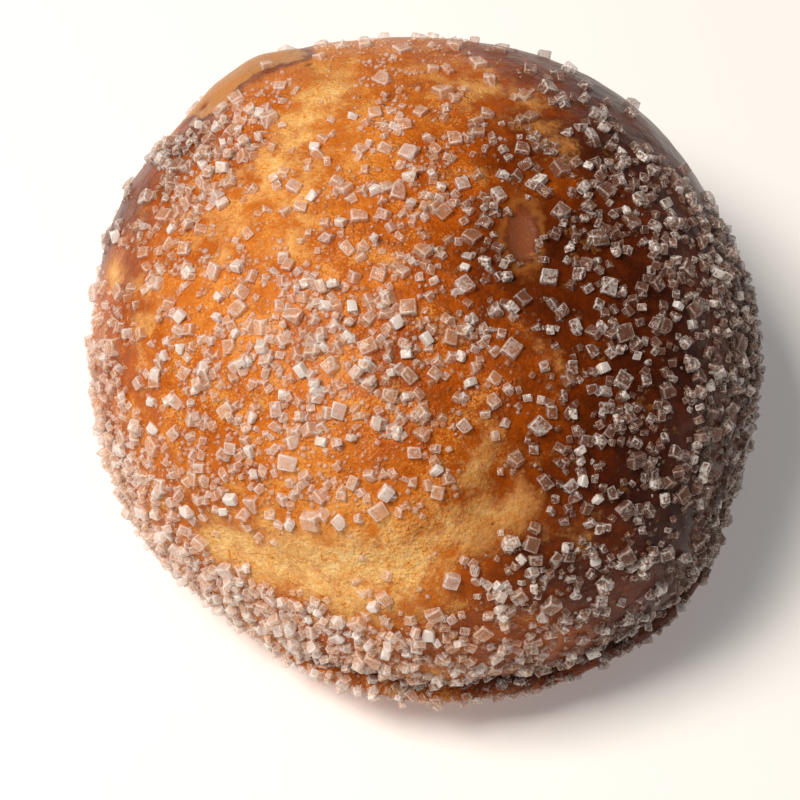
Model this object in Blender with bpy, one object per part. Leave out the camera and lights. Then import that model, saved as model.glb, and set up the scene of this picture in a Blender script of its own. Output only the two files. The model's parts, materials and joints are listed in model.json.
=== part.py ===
"""A round brioche bun with coarse sugar crystals baked onto its egg-washed crust.

The bun is one solid. It rests on its flat underside at z = 0, the origin is the middle of
that underside, -Y is the side whose foot is creased, and +Z is up. Units are metres.
"""

import math
import random

import bmesh
import bpy
from mathutils import Matrix, Vector, noise

MM = 0.001

# Size of the bun
WIDTH = 93.4 * MM
DEPTH = 95.4 * MM
HEIGHT = 56.5 * MM
WIDEST_LEVEL = 14.5 * MM
UNDERSIDE_REACH = 23.0 * MM
FULLNESS = 2.35
FACE_CUTS = 18
RIM_SNAP = 0.1 * MM

# Where the outline swells or flattens: degrees from +X, how far, half width in degrees
OUTLINE_SWELLS = (
    (45.0, 0.6 * MM, 18.0),
    (124.0, 2.4 * MM, 14.0),
    (154.0, 1.6 * MM, 14.0),
    (205.0, -0.7 * MM, 16.0),
    (238.0, -3.0 * MM, 22.0),
    (314.0, 2.0 * MM, 18.0),
)

# Broad unevenness of the baked dough
SWELL_HEIGHT = 0.9 * MM
SWELL_SPACING = 26.0 * MM
SWELL_SEED = Vector((3.1, 7.4, 1.9))

# Pale splits where the crust tore as it rose: half width, depth, then (degrees, lean) along it
SPLITS = (
    (4.2 * MM, 1.0 * MM, ((-128, 68), (-113, 67), (-91, 58), (-79, 52), (-73, 45))),
    (4.5 * MM, 0.6 * MM, ((112, 36), (134, 27), (149, 28), (168, 35))),
)

# Smooth flap of dough at the far left: degrees, lean, half width, height
FLAP = (128.0, 60.0, 8.0 * MM, 0.6 * MM)

# Oval hollow in the glaze, long towards +Y: degrees, lean, half length, half width, depth
HOLLOW = (-10.0, 17.0, 4.4 * MM, 2.2 * MM, 1.0 * MM)

# Crease round the foot on the side towards -Y, with a lip below it
CREASE_LEVEL = 14.0 * MM
CREASE_WAVE = 1.0 * MM
CREASE_HALF_HEIGHT = 1.6 * MM
CREASE_DEPTH = 1.4 * MM
LIP_DROP = 3.4 * MM
LIP_HEIGHT = 0.9 * MM
CREASE_FROM = -122.0
CREASE_TO = -22.0
CREASE_FADE = 16.0

# Smooth glazed shoulder with hardly any sugar: (degrees, lean), half width
BARE_PATCHES = (
    ((30.0, 68.0), 8.0 * MM),
    ((48.0, 68.0), 9.0 * MM),
    ((66.0, 68.0), 8.0 * MM),
    ((84.0, 68.0), 8.0 * MM),
    ((102.0, 66.0), 8.0 * MM),
)

# The largest sugar crystals, spread evenly over the upper crust
CRYSTAL_TRIES = 286
CRYSTAL_SEED = 11
CRYSTAL_LOWEST = 13.0 * MM
CRYSTAL_JITTER = 1.3 * MM
CRYSTAL_LENGTH = (1.6 * MM, 2.4 * MM)
CRYSTAL_BREADTH = (0.72, 1.0)
CRYSTAL_THICKNESS = (0.6, 0.8)
CRYSTAL_CORNERS = (0.8, 1.08)
CRYSTAL_SUNK = 0.36
CRYSTAL_TILT = math.radians(16.0)
GOLDEN_ANGLE = math.pi * (3.0 - math.sqrt(5.0))
SUGAR_LIMIT = 0.3

CENTRE = Vector((0.0, 0.0, WIDEST_LEVEL))


def bell(distance, half_width):
    """One at no distance, falling smoothly to nothing at about twice the half width."""
    return math.exp(-((distance / half_width) ** 2))


def turn_between(degrees_a, degrees_b):
    """The smaller angle between two compass directions, in degrees."""
    return abs((degrees_a - degrees_b + 180.0) % 360.0 - 180.0)


def outline_radius(degrees):
    """How far the bun reaches from its axis at its widest level."""
    angle = math.radians(degrees)
    across = math.cos(angle) / (WIDTH / 2)
    along = math.sin(angle) / (DEPTH / 2)
    radius = 1.0 / math.hypot(across, along)
    for where, reach, half_width in OUTLINE_SWELLS:
        radius += reach * bell(turn_between(degrees, where), half_width)
    return radius


def plain_crust(direction):
    """The point of the bun's plain domed form in a direction from its centre."""
    degrees = math.degrees(math.atan2(direction.y, direction.x))
    flat_share = math.hypot(direction.x, direction.y) / outline_radius(degrees)
    reach = HEIGHT - WIDEST_LEVEL if direction.z > 0.0 else UNDERSIDE_REACH
    high_share = abs(direction.z) / reach
    distance = (flat_share**FULLNESS + high_share**FULLNESS) ** (-1.0 / FULLNESS)
    return CENTRE + direction * distance


def place_on_crust(degrees, lean):
    """The plain form's point at a compass angle and at a lean from straight up, in degrees."""
    turn = math.radians(degrees)
    slope = math.radians(lean)
    flat = math.sin(slope)
    direction = Vector((flat * math.cos(turn), flat * math.sin(turn), math.cos(slope)))
    return plain_crust(direction)


def distance_to_path(point, path):
    """The shortest distance from a point to a line of straight runs."""
    shortest = math.inf
    for start, end in zip(path, path[1:]):
        run = end - start
        share = (point - start).dot(run) / run.length_squared
        nearest = start + run * min(1.0, max(0.0, share))
        shortest = min(shortest, (point - nearest).length)
    return shortest


SPLIT_PATHS = [[place_on_crust(*place) for place in places] for _, _, places in SPLITS]
BARE_MIDDLES = [place_on_crust(*place) for place, _ in BARE_PATCHES]


def crease_height(point):
    """How far the wavy foot crease cuts in, or the lip below it stands out."""
    degrees = math.degrees(math.atan2(point.y, point.x))
    wave = math.sin(math.radians(7.0 * degrees)) + 0.5 * math.sin(math.radians(17.0 * degrees))
    above = point.z - CREASE_LEVEL - CREASE_WAVE * wave
    inside = min(degrees - CREASE_FROM, CREASE_TO - degrees) / CREASE_FADE
    strength = min(1.0, max(0.0, inside))
    lip = LIP_HEIGHT * bell(above + LIP_DROP, CREASE_HALF_HEIGHT)
    return strength * (lip - CREASE_DEPTH * bell(above, CREASE_HALF_HEIGHT))


def flap_height(point):
    """How far the smooth flap stands out, flat on top with a rounded edge."""
    degrees, lean, half_width, height = FLAP
    reach = (point - place_on_crust(degrees, lean)).length / half_width
    return height * bell(reach * reach, 1.0)


def hollow_depth(point):
    """How deep the oval hollow is."""
    degrees, lean, half_length, half_width, depth = HOLLOW
    offset = point - place_on_crust(degrees, lean)
    return depth * bell(math.hypot(offset.x / half_width, offset.y / half_length), 1.0)


def crust_point(direction):
    """The point of the finished crust in a direction from the centre."""
    point = plain_crust(direction)
    height = SWELL_HEIGHT * noise.noise(point / SWELL_SPACING + SWELL_SEED)
    for (half_width, depth, _), path in zip(SPLITS, SPLIT_PATHS):
        height -= depth * bell(distance_to_path(point, path), half_width)
    if point.z > WIDEST_LEVEL:
        height += flap_height(point) - hollow_depth(point)
    return point + direction * (height + crease_height(point))


def crust_normal(direction):
    """The outward direction of the crust, from two short steps along it."""
    step = 0.01
    side = direction.orthogonal().normalized()
    other = direction.cross(side)
    here = crust_point(direction)
    along = crust_point((direction + side * step).normalized()) - here
    across = crust_point((direction + other * step).normalized()) - here
    return along.cross(across).normalized()


def bun_body():
    """The bare bun: an even grid of faces drawn out to the crust and cut flat below."""
    form = bmesh.new()
    bmesh.ops.create_cube(form, size=2.0)
    bmesh.ops.subdivide_edges(form, edges=form.edges, cuts=FACE_CUTS - 1, use_grid_fill=True)
    for vertex in form.verts:
        even = Vector(math.tan(share * math.pi / 4) for share in vertex.co)
        vertex.co = plain_crust(even.normalized())
    for rise in (-LIP_DROP, 0.0, CREASE_HALF_HEIGHT):
        parts = form.verts[:] + form.edges[:] + form.faces[:]
        level = (0.0, 0.0, CREASE_LEVEL + rise)
        bmesh.ops.bisect_plane(form, geom=parts, plane_co=level, plane_no=(0, 0, 1))
    for vertex in form.verts:
        vertex.co = crust_point((vertex.co - CENTRE).normalized())
    parts = form.verts[:] + form.edges[:] + form.faces[:]
    floor = (0.0, 0.0, 0.0)
    bmesh.ops.bisect_plane(form, geom=parts, plane_co=floor, plane_no=(0, 0, 1), clear_inner=True)
    for vertex in form.verts:
        if vertex.co.z < RIM_SNAP:
            vertex.co.z = 0.0
    rim = [edge for edge in form.edges if edge.is_boundary]
    bmesh.ops.contextual_create(form, geom=rim)
    bmesh.ops.triangulate(form, faces=form.faces)
    bmesh.ops.recalc_face_normals(form, faces=form.faces)
    mesh = bpy.data.meshes.new("brioche")
    form.to_mesh(mesh)
    form.free()
    bun = bpy.data.objects.new("brioche", mesh)
    bpy.context.scene.collection.objects.link(bun)
    return bun


def takes_crystal(spot):
    """Whether sugar stuck: not low on the foot, nor on what is torn, hollow or glazed smooth."""
    if spot.z < CRYSTAL_LOWEST:
        return False
    bare = zip(BARE_MIDDLES, BARE_PATCHES)
    if any((spot - middle).length < half_width for middle, (_, half_width) in bare):
        return False
    if hollow_depth(spot) > HOLLOW[-1] * SUGAR_LIMIT:
        return False
    if flap_height(spot) > FLAP[-1] * SUGAR_LIMIT:
        return False
    widths = [split[0] for split in SPLITS]
    return all(distance_to_path(spot, path) > width for width, path in zip(widths, SPLIT_PATHS))


def crystal_directions(draw):
    """Evenly spread directions, each moved a little, where a large crystal lies."""
    directions = []
    for index in range(CRYSTAL_TRIES):
        height = 1.0 - (index + 0.5) / CRYSTAL_TRIES
        flat = math.sqrt(1.0 - height * height)
        turn = index * GOLDEN_ANGLE
        even = Vector((flat * math.cos(turn), flat * math.sin(turn), height))
        shift = Vector(draw.uniform(-1.0, 1.0) for _ in range(3)) * (CRYSTAL_JITTER * 2 / WIDTH)
        direction = (even + shift).normalized()
        if takes_crystal(plain_crust(direction)):
            directions.append(direction)
    return directions


def crystal_mesh(direction, draw):
    """One blocky sugar crystal, slightly out of square, pressed into the crust."""
    length = draw.uniform(*CRYSTAL_LENGTH)
    breadth = length * draw.uniform(*CRYSTAL_BREADTH)
    thickness = length * draw.uniform(*CRYSTAL_THICKNESS)
    sides = Vector((length, breadth, thickness))
    normal = crust_normal(direction)
    spin = Matrix.Rotation(draw.uniform(0.0, math.pi), 3, "Z")
    tilt_x = Matrix.Rotation(draw.uniform(-CRYSTAL_TILT, CRYSTAL_TILT), 3, "X")
    tilt_y = Matrix.Rotation(draw.uniform(-CRYSTAL_TILT, CRYSTAL_TILT), 3, "Y")
    stand = normal.to_track_quat("Z", "Y").to_matrix()
    middle = crust_point(direction) + normal * (thickness * (0.5 - CRYSTAL_SUNK))
    form = bmesh.new()
    bmesh.ops.create_cube(form, size=1.0)
    for corner in form.verts:
        off_square = Vector(draw.uniform(*CRYSTAL_CORNERS) for _ in range(3))
        shaped = corner.co * sides * off_square
        corner.co = middle + stand @ (tilt_x @ (tilt_y @ (spin @ shaped)))
    bmesh.ops.triangulate(form, faces=form.faces)
    mesh = bpy.data.meshes.new("crystal")
    form.to_mesh(mesh)
    form.free()
    return mesh


def fuse_crystals(bun):
    """Joins the large crystals to the bun as one closed body."""
    draw = random.Random(CRYSTAL_SEED)
    sugar = bpy.data.collections.new("sugar")
    bpy.context.scene.collection.children.link(sugar)
    for direction in crystal_directions(draw):
        sugar.objects.link(bpy.data.objects.new("crystal", crystal_mesh(direction, draw)))
    join = bun.modifiers.new("join", "BOOLEAN")
    join.operation = "UNION"
    join.solver = "EXACT"
    join.operand_type = "COLLECTION"
    join.collection = sugar
    bpy.context.view_layer.objects.active = bun
    bpy.ops.object.modifier_apply(modifier=join.name)
    for grain in list(sugar.objects):
        bpy.data.objects.remove(grain)
    bpy.data.collections.remove(sugar)


def browned_crust():
    """Egg-washed brioche crust: golden brown with a soft gloss."""
    material = bpy.data.materials.new("browned_crust")
    material.use_nodes = True
    shader = material.node_tree.nodes["Principled BSDF"]
    shader.inputs["Base Color"].default_value = (0.47, 0.17, 0.04, 1.0)
    shader.inputs["Roughness"].default_value = 0.42
    shader.inputs["Metallic"].default_value = 0.0
    return material


def main():
    for old in list(bpy.data.objects):
        bpy.data.objects.remove(old)
    bun = bun_body()
    fuse_crystals(bun)
    bun.data.materials.append(browned_crust())


main()
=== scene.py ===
"""A sugared brioche bun: its browned crust, its coarse sugar and a pale studio round it."""

import json
import math
import random
from collections import namedtuple

import bmesh
import bpy
from mathutils import Matrix, Vector, noise

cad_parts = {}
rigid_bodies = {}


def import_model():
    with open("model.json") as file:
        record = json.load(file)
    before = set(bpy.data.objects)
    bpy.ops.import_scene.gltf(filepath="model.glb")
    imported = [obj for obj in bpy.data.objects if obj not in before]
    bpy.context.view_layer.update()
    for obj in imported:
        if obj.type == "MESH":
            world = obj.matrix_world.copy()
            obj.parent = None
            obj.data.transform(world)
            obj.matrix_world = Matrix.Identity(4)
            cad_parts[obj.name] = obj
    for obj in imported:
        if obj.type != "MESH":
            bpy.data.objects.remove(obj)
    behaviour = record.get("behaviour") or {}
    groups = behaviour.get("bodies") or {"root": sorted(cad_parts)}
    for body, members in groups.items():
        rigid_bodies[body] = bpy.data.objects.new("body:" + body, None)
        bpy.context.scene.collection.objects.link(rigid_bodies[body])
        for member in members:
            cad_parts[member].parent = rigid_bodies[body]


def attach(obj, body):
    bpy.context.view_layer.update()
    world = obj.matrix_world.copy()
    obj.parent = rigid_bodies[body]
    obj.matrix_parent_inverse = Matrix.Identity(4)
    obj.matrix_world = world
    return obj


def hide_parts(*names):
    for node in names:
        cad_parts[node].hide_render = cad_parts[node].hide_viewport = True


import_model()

bl_info = {
    "name": "Sugared Brioche Bun",
    "version": (1, 0, 0),
    "blender": (4, 5, 0),
    "location": "3D View > Sidebar > Brioche",
    "description": "Builds a browned brioche bun with coarse sugar, and a pale studio round it",
    "category": "Add Mesh",
}

MM = 0.001
NODE = "brioche"

# Where the outline swells or flattens: degrees from +X, how far, half width in degrees
OUTLINE_SWELLS = (
    (45.0, 0.6 * MM, 18.0),
    (124.0, 2.4 * MM, 14.0),
    (154.0, 1.6 * MM, 14.0),
    (205.0, -0.7 * MM, 16.0),
    (238.0, -3.0 * MM, 22.0),
    (314.0, 2.0 * MM, 18.0),
)

# Broad unevenness of the baked dough
SWELL_HEIGHT = 0.9 * MM
SWELL_SPACING = 26.0 * MM
SWELL_SEED = Vector((3.1, 7.4, 1.9))

# Fine unevenness that the solid leaves out: height, spacing
FINE_SWELLS = ((0.22 * MM, 5.0 * MM), (0.08 * MM, 1.6 * MM))
# The part of the crust's cube grid below this level lies under the flat underside
GRID_LOWEST = -0.7

# Splits where the crust tore as it rose: half width, depth, then (degrees, lean) along it
SPLITS = (
    (4.2 * MM, 1.0 * MM, ((-128, 68), (-113, 67), (-91, 58), (-79, 52), (-73, 45))),
    (4.5 * MM, 0.6 * MM, ((112, 36), (134, 27), (149, 28), (168, 35))),
)

# Smooth flap of dough at the far left: (degrees, lean), half width, height
FLAP_PLACE = (128.0, 60.0)
FLAP_HALF_WIDTH = 8.0 * MM
FLAP_HEIGHT = 0.6 * MM

# Oval hollow in the glaze, long towards +Y: (degrees, lean), half length, half width, depth
HOLLOW_PLACE = (-10.0, 17.0)
HOLLOW_HALF_LENGTH = 4.4 * MM
HOLLOW_HALF_WIDTH = 2.2 * MM
HOLLOW_DEPTH = 1.0 * MM

# Crease round the foot on the side towards -Y, with a lip below it
CREASE_LEVEL = 14.0 * MM
CREASE_WAVE = 1.0 * MM
CREASE_HALF_HEIGHT = 1.6 * MM
CREASE_DEPTH = 1.4 * MM
LIP_DROP = 3.4 * MM
LIP_HEIGHT = 0.9 * MM
CREASE_FROM = -122.0
CREASE_TO = -22.0
CREASE_FADE = 16.0

# Smooth glazed shoulder with hardly any sugar: (degrees, lean), half width
BARE_PATCHES = (
    ((30.0, 68.0), 8.0 * MM),
    ((48.0, 68.0), 9.0 * MM),
    ((66.0, 68.0), 8.0 * MM),
    ((84.0, 68.0), 8.0 * MM),
    ((102.0, 66.0), 8.0 * MM),
)

# The largest sugar crystals, spread evenly over the upper crust
CRYSTAL_TRIES = 286
CRYSTAL_SEED = 11
CRYSTAL_LOWEST = 13.0 * MM
CRYSTAL_JITTER = 1.3 * MM
CRYSTAL_LENGTH = (1.6 * MM, 2.4 * MM)
CRYSTAL_BREADTH = (0.72, 1.0)
CRYSTAL_THICKNESS = (0.6, 0.8)
CRYSTAL_CORNERS = (0.8, 1.08)
CRYSTAL_SUNK = 0.36
CRYSTAL_TILT = math.radians(16.0)
GOLDEN_ANGLE = math.pi * (3.0 - math.sqrt(5.0))

# No large crystal sticks past this share of the hollow's depth or the flap's height
SUGAR_LIMIT = 0.3

# A crystal's worn edges, as shares of its length, and how clear and cloudy it is
CRYSTAL_BEVEL = 0.04
CRYSTAL_RIM = 0.07
CRYSTAL_PILLOW = 0.35
BROAD_FACE_SHARE = 0.22
CORNER_BREAKS = 3
BREAK_SLANT = (0.3, 1.0)
BREAK_KEPT = (0.62, 0.86)
LARGE_CLEARNESS = 0.64
LARGE_CLOUD = 0.4
EDGE_CLEARNESS_SHARE = 0.7

# How the crust browns from left to right, partly as painted shade away from the key light,
# darker in its crease by painted shade, and less towards its hidden foot
PLAIN_BAKE = 0.38
BAKE_AND_SHADE_ACROSS = 0.53
BAKE_AND_SHADE_FROM = -14.0 * MM
BAKE_AND_SHADE_TO = 24.0 * MM
# Painted shade in the foot crease
CREASE_SHADE = 0.3
FOOT_BAKE = 0.24
FOOT_LEVELS = (3.0 * MM, 14.0 * MM)

# How much sugar fell: its usual amount, its unevenness and spacing, and what keeps it off
SUGAR_AMOUNT = 0.6
SUGAR_UNEVENNESS = 0.85
SUGAR_SPACING = 2.8 * MM
SUGAR_OFF_CRUMB = 1.1
GRANULE_UNEVENNESS = 1.1
GRANULE_SPACING = 2.3 * MM
GRANULES_OFF_BROWN = 1.55
GRANULES_IN_SUGAR = 0.5
OFF_FLAP = 1.5
OFF_HOLLOW = 1.2
OFF_BARE = 1.6
SUGARED_LEVELS = (3.5 * MM, 9.0 * MM)

# The flap's smooth skin, in half widths: unevenness, its loss downwards, its edge, where sugar starts
FLAP_UNEVENNESS = 0.5
FLAP_SPACING = 6.5 * MM
FLAP_DROP_LOSS = 0.45
FLAP_DROP = (0.0, 1.2)
FLAP_EDGE_FADE = (-0.3, 0.5)
FLAP_FARTHEST = 2.0
SUGAR_PAST_FLAP = (1.4, 1.7)

# Pale crumb that shows where the crust stretched: half width, paleness, (degrees, lean) along it
PALE_BANDS = (
    (4.1 * MM, 0.9, ((-128, 71), (-119, 69), (-112, 66))),
    (6.3 * MM, 0.95, ((-112, 65), (-103, 62), (-95, 59))),
    (3.8 * MM, 0.7, ((-95, 57), (-86, 54), (-77, 52), (-72, 51))),
    (2.6 * MM, 0.65, ((-78, 50), (-79, 45), (-76, 41))),
    (4.0 * MM, 0.7, ((121, 35), (136, 30), (155, 29), (168, 33), (176, 35))),
    (3.8 * MM, 0.4, ((112, 41), (121, 32), (138, 22), (163, 22), (-171, 23))),
    (4.0 * MM, 0.54, ((76, 31), (62, 33), (47, 30), (32, 27))),
    (2.2 * MM, 0.6, ((174, 62), (-177, 53), (-170, 48))),
    (2.0 * MM, 0.5, ((-170, 48), (-165, 54), (-155, 59))),
    (1.5 * MM, 0.45, ((-52, 29), (-48, 36))),
    (2.0 * MM, 0.5, ((-67, 57), (-62, 60))),
)

# How much wider than its band the crumb shows
BAND_SPREAD = 1.2

# Patches baked lighter or darker, and painted shade that darkens the left rim: degrees, lean, half width,
# change
BAKE_AND_SHADE_PATCHES = (
    (152.0, 61.0, 10.0 * MM, 0.20),
    (163.0, 70.0, 8.0 * MM, 0.28),
    (-176.0, 78.0, 7.0 * MM, 0.12),
    (-178.0, 68.0, 6.0 * MM, -0.10),
    (-152.0, 84.0, 9.0 * MM, 0.12),
    (-100.0, 84.0, 14.0 * MM, 0.10),
    (0.0, 22.0, 9.0 * MM, 0.08),
    (-172.0, 56.0, 22.0 * MM, 0.21),
    (152.0, 50.0, 8.0 * MM, 0.22),
    (150.0, 32.0, 10.0 * MM, 0.06),
    (-102.0, 33.0, 9.0 * MM, 0.13),
    (-116.0, 46.0, 8.0 * MM, -0.07),
    (-55.0, 16.0, 6.0 * MM, 0.08),
    (-66.0, 33.0, 8.0 * MM, -0.14),
    (-70.0, 80.0, 13.0 * MM, -0.2),
    (-38.0, 74.0, 12.0 * MM, 0.06),
    (60.0, 32.0, 8.0 * MM, -0.16),
    (17.0, 25.0, 5.0 * MM, -0.14),
    (45.0, 62.0, 14.0 * MM, 0.06),
    (95.0, 52.0, 16.0 * MM, -0.10),
    (75.0, 40.0, 9.0 * MM, -0.04),
    (-85.0, 56.0, 14.0 * MM, -0.12),
    (-160.0, 40.0, 16.0 * MM, -0.06),
)

# Melted sugar film, and painted grey sheen on the far right shoulder and the left rim: degrees, lean, half
# width, strength
FILM_AND_SHEEN_PATCHES = (
    (-150.0, 40.0, 17.0 * MM, 0.35),
    (170.0, 46.0, 11.0 * MM, 0.35),
    (-115.0, 50.0, 12.0 * MM, 0.12),
    (-110.0, 84.0, 14.0 * MM, 0.4),
    (160.0, 68.0, 7.0 * MM, 0.5),
    (151.0, 58.0, 7.0 * MM, 0.55),
    (14.0, 72.0, 8.0 * MM, 0.7),
    (31.0, 66.0, 9.0 * MM, 0.8),
    (49.0, 63.0, 9.0 * MM, 0.8),
    (67.0, 60.0, 9.0 * MM, 0.7),
    (85.0, 60.0, 8.0 * MM, 0.5),
)

# Small open pores: degrees, lean, radius
PORES = (
    (102.0, 28.0, 0.75 * MM),
    (118.0, 44.0, 0.5 * MM),
    (118.0, 42.0, 0.4 * MM),
    (-76.0, 50.0, 0.65 * MM),
    (-98.0, 59.0, 0.55 * MM),
    (-103.0, 66.0, 0.45 * MM),
    (-91.0, 54.0, 0.45 * MM),
    (-79.0, 55.0, 0.4 * MM),
    (138.0, 56.0, 0.9 * MM),
)
PORE_DEPTH = 0.5 * MM

# Where sugar is thicker or thinner: degrees, lean, half width, change
SUGAR_PATCHES = (
    (148.0, 42.0, 7.0 * MM, 1.1),
    (156.0, 64.0, 7.0 * MM, -0.75),
    (165.0, 40.0, 6.0 * MM, 0.8),
    (-113.0, 27.0, 6.5 * MM, 1.0),
    (-128.0, 30.0, 5.0 * MM, 0.6),
    (-108.0, 53.0, 2.6 * MM, 0.9),
    (-150.0, 82.0, 11.0 * MM, 0.45),
    (-125.0, 86.0, 11.0 * MM, 1.0),
    (-100.0, 84.0, 12.0 * MM, 0.75),
    (-15.0, 68.0, 15.0 * MM, 0.6),
    (12.0, 66.0, 12.0 * MM, 0.5),
    (10.0, 30.0, 9.0 * MM, 0.3),
    (-176.0, 82.0, 11.0 * MM, -0.5),
    (155.0, 74.0, 10.0 * MM, -0.6),
    (165.0, 70.0, 12.0 * MM, -0.5),
    (30.0, 60.0, 8.0 * MM, -0.8),
    (62.0, 54.0, 9.0 * MM, -0.8),
    (-66.0, 33.0, 7.0 * MM, -0.3),
    (48.0, 66.0, 14.0 * MM, -1.0),
    (85.0, 62.0, 17.0 * MM, -0.9),
    (115.0, 45.0, 9.0 * MM, -0.7),
    (100.0, 35.0, 6.0 * MM, -0.4),
    (-92.0, 40.0, 4.0 * MM, -0.1),
    (-54.0, 74.0, 14.0 * MM, -0.04),
)

# The studio: the key light, the floor, how the surroundings darken upwards, and the camera
KEY_PLACE = (-0.33, -0.04, 0.69)
KEY_AIM = (0.0, 0.0, 0.025)
KEY_SIZE = 0.28
FLOOR_HALF = 3.0
GLOW_FROM = 0.15
GLOW_TO = 0.6
GLOW_LEFT = 0.25
NEAREST_SEEN = 0.01


def bell(distance, half_width):
    """One at no distance, falling smoothly to nothing at about twice the half width."""
    return math.exp(-((distance / half_width) ** 2))


def ramp(value, low, high):
    """Zero up to low, one from high on, and smooth between."""
    share = min(1.0, max(0.0, (value - low) / (high - low)))
    return share * share * (3.0 - 2.0 * share)


def linear(hex_colour):
    """An sRGB hex colour as the linear colour that Blender's shaders take."""
    shares = [int(hex_colour[index : index + 2], 16) / 255 for index in (0, 2, 4)]
    curve = [s / 12.92 if s <= 0.04045 else ((s + 0.055) / 1.055) ** 2.4 for s in shares]
    return (*curve, 1.0)


def turn_between(degrees_a, degrees_b):
    """The smaller angle between two compass directions, in degrees."""
    return abs((degrees_a - degrees_b + 180.0) % 360.0 - 180.0)


def hex_setting(label, thing, default):
    """A setting for the colour of a thing, as an sRGB hex value."""
    return bpy.props.StringProperty(name=label, description=f"sRGB hex of {thing}", default=default)


class BriocheForm(bpy.types.PropertyGroup):
    """The bun's driving sizes, the same as those of the solid."""

    width: bpy.props.FloatProperty(
        name="Width", description="Across the crust, left to right", default=93.4 * MM, unit="LENGTH"
    )
    depth: bpy.props.FloatProperty(
        name="Depth", description="Across the crust, front to back", default=95.4 * MM, unit="LENGTH"
    )
    height: bpy.props.FloatProperty(
        name="Height", description="From the underside to the crown", default=56.5 * MM, unit="LENGTH"
    )
    widest_level: bpy.props.FloatProperty(
        name="Widest Level", description="How high the bun is widest", default=14.5 * MM, unit="LENGTH"
    )
    underside_reach: bpy.props.FloatProperty(
        name="Underside Reach",
        description="How far below its widest level the lower curve would reach uncut",
        default=23.0 * MM,
        unit="LENGTH",
    )
    fullness: bpy.props.FloatProperty(
        name="Fullness", description="Two is an ellipsoid, and more is squarer", default=2.35
    )
    face_cuts: bpy.props.IntProperty(
        name="Face Cuts", description="Faces along one side of the crust's grid", default=154
    )


class BriocheColours(bpy.types.PropertyGroup):
    """The colours of crumb, crust, melted film with its painted sheen, and sugar with its painted inner
    glow.
    """

    crumb: hex_setting("Crumb", "the stretched pale crumb", "F3BE74")
    golden: hex_setting("Golden", "lightly baked crust", "E8A250")
    amber: hex_setting("Amber", "egg-washed crust", "D07420")
    russet: hex_setting("Russet", "well browned crust", "AC4F06")
    chestnut: hex_setting("Chestnut", "dark crust", "6C2A04")
    char: hex_setting("Char", "the darkest crust", "3C1404")
    film: hex_setting("Film", "the melted sugar film", "E4935A")
    # Grey brown film on dark crust, which is also the painted grey sheen of its rims
    dark_film_and_sheen: hex_setting("Rim Film", "the film where the crust is dark", "765645")
    pale_crumb: hex_setting("Pale Crumb", "the palest crumb", "FCD490")
    aged_crumb: hex_setting("Aged Crumb", "crumb that browned", "BC783A")
    hollow: hex_setting("Hollow", "the dull glaze in the oval hollow", "925638")
    flap: hex_setting("Flap", "the smooth flap of dough", "BE843C")
    sugar: hex_setting("Sugar", "the cloudy parts of the crystals", "FFF7F0")
    sugar_edge: hex_setting("Sugar Edge", "the crystals' bright edges", "FFFCFA")
    glow_golden: hex_setting("Glow on Golden", "the inside of crystals on golden crust", "FFE8D6")
    glow_russet: hex_setting("Glow on Russet", "the inside of crystals on russet crust", "F0BC94")
    glow_char: hex_setting("Glow on Char", "the inside of crystals on the darkest crust", "926A57")


class BriocheStudio(bpy.types.PropertyGroup):
    """The pale studio: floor, light, surroundings and camera."""

    elevation: bpy.props.FloatProperty(
        name="Elevation", description="How far the camera looks down", default=math.radians(62.0),
        subtype="ANGLE",
    )
    distance: bpy.props.FloatProperty(
        name="Distance", description="From the camera to the aim point", default=309.5 * MM, unit="LENGTH"
    )
    lens: bpy.props.FloatProperty(name="Lens", description="Focal length in mm", default=100.0)
    aim: bpy.props.FloatVectorProperty(
        name="Aim", description="The point that the camera looks at",
        default=(-3.1 * MM, -7.2 * MM, 20.1 * MM), unit="LENGTH",
    )
    key_power: bpy.props.FloatProperty(
        name="Key Power", description="The soft light from the left", default=6.0, unit="POWER"
    )
    key_colour: hex_setting("Key Colour", "the key light", "FFF6EC")
    surround: bpy.props.FloatProperty(
        name="Surround", description="Brightness of the pale surroundings", default=0.32
    )
    surround_colour: hex_setting("Surround Colour", "the surroundings", "F6F4F3")
    board_colour: hex_setting("Board Colour", "the floor", "F6F5F3")
    board_glow: bpy.props.FloatProperty(
        name="Board Glow", description="How much the floor shines of itself", default=0.2
    )


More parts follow.
